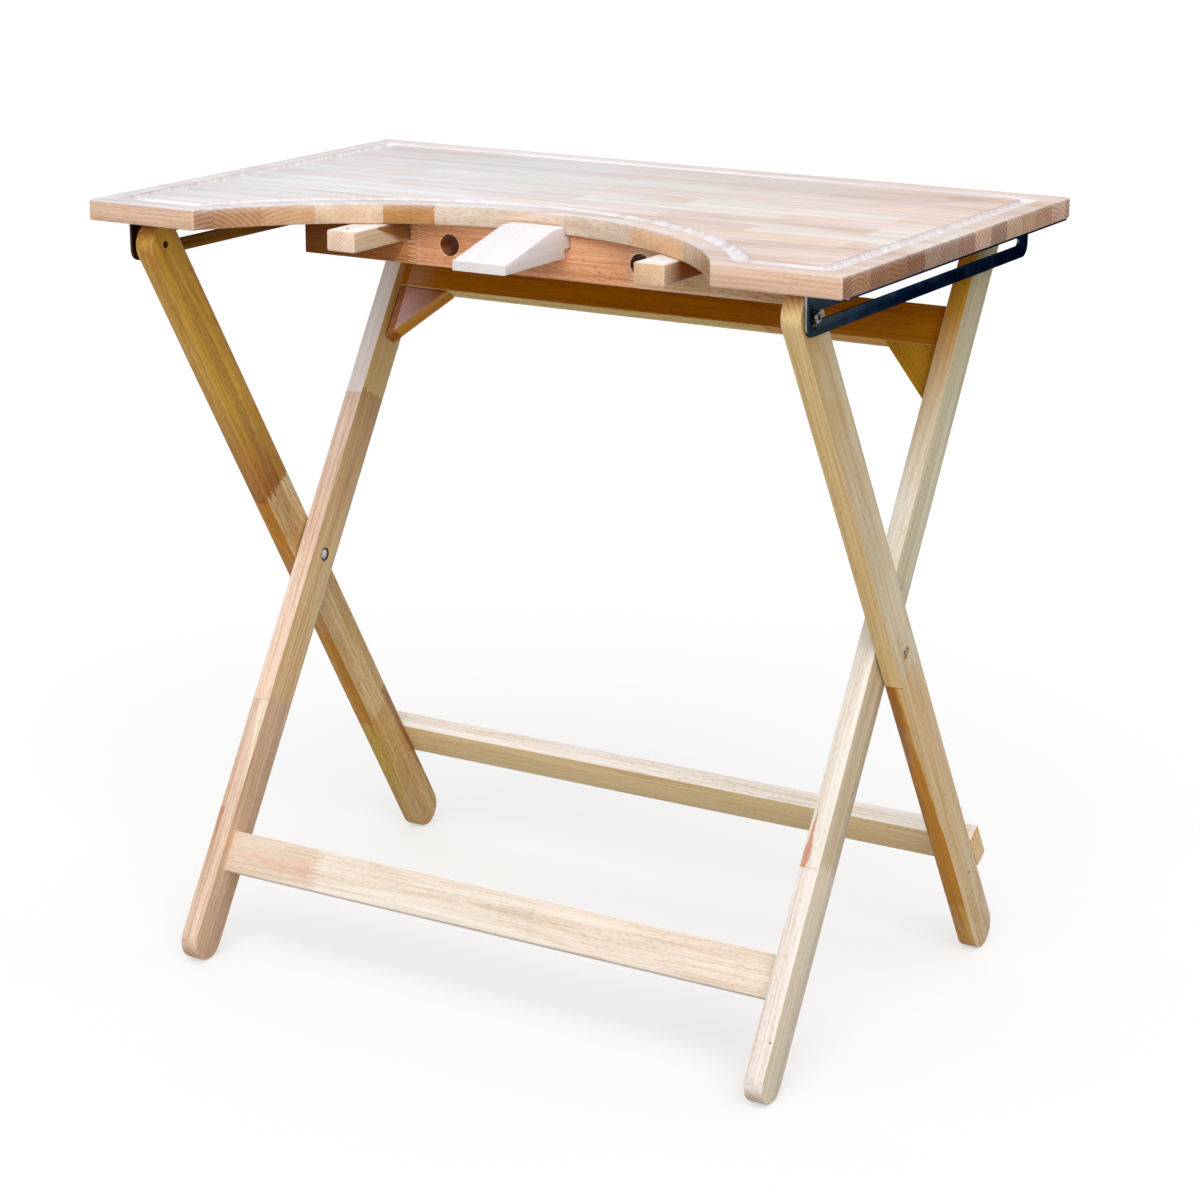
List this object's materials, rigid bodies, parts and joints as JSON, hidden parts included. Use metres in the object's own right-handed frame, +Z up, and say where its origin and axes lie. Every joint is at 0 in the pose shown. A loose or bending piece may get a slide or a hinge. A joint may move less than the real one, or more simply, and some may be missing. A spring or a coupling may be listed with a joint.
{
  "type": "folding workbench",
  "caption": "Folding wooden workbench: grooved plank top with a bow-shaped cut-out, bench pin, sliding arm rests and crossed leg frames that close on slotted steel angles.",
  "frame": {"origin": "on the floor under the middle of the tabletop", "axes": "+X along the long side of the tabletop to the user's right, +Y from the user's front edge to the back, +Z up"},
  "size_m": [0.8, 0.505, 0.78],
  "materials": {
    "pale_wood": "sanded pale wood, bleached, unvarnished",
    "leg_wood": "planed straw-coloured wood",
    "rail_wood": "planed golden wood",
    "apron_wood": "planed reddish wood with finger joints",
    "pin_wood": "raw sanded near-white wood",
    "black_steel": "blue-black coated steel with bare cut edges",
    "zinc_steel": "bright zinc plated"
  },
  "bodies": {
    "inner_frame": {"left_inner_leg": "leg_wood", "right_inner_leg": "leg_wood", "upper_rail": "rail_wood", "front_stretcher": "leg_wood", "left_gusset": "leg_wood", "right_gusset": "leg_wood", "left_hinge_bolt": "zinc_steel", "right_hinge_bolt": "zinc_steel", "left_hinge_nut": "zinc_steel", "right_hinge_nut": "zinc_steel"},
    "outer_frame": {"left_outer_leg": "leg_wood", "right_outer_leg": "leg_wood", "rear_stretcher": "rail_wood", "left_pivot_bolt": "zinc_steel", "right_pivot_bolt": "zinc_steel", "left_pivot_nut": "zinc_steel", "right_pivot_nut": "zinc_steel", "left_pivot_washer": "zinc_steel", "right_pivot_washer": "zinc_steel", "left_slot_bolt": "zinc_steel", "right_slot_bolt": "zinc_steel", "left_threaded_insert": "zinc_steel", "right_threaded_insert": "zinc_steel"},
    "top": {"tabletop": "pale_wood", "apron_rail": "apron_wood", "left_arm_keeper": "leg_wood", "right_arm_keeper": "leg_wood", "left_slot_bracket": "black_steel", "right_slot_bracket": "black_steel", "left_hinge_bracket": "black_steel", "right_hinge_bracket": "black_steel"},
    "pin": {"bench_pin": "pin_wood"},
    "left_arm": {"left_arm_rest": "pale_wood"},
    "right_arm": {"right_arm_rest": "pale_wood"}
  },
  "joints": [
    {"name": "leg_fold", "type": "hinge", "parent": "inner_frame", "child": "outer_frame", "pos_m": [0, 0, 0.379], "axis": [-1, 0, 0], "range_deg": [0, 61]},
    {"name": "top_tilt", "type": "hinge", "parent": "inner_frame", "child": "top", "pos_m": [0, 0.218, 0.737], "axis": [-1, 0, 0], "range_deg": [0, 30.5]},
    {"name": "bench_pin_slide", "type": "slide", "parent": "top", "child": "pin", "axis": [0, -1, 0], "range_m": [0, 0.03]},
    {"name": "left_arm_slide", "type": "slide", "parent": "top", "child": "left_arm", "axis": [0, 1, 0], "range_m": [0, 0.09]},
    {"name": "right_arm_slide", "type": "slide", "parent": "top", "child": "right_arm", "axis": [0, 1, 0], "range_m": [0, 0.09]}
  ],
  "couplings": [
    {"joint": "top_tilt", "follows": "leg_fold", "ratio": 0.5}
  ]
}
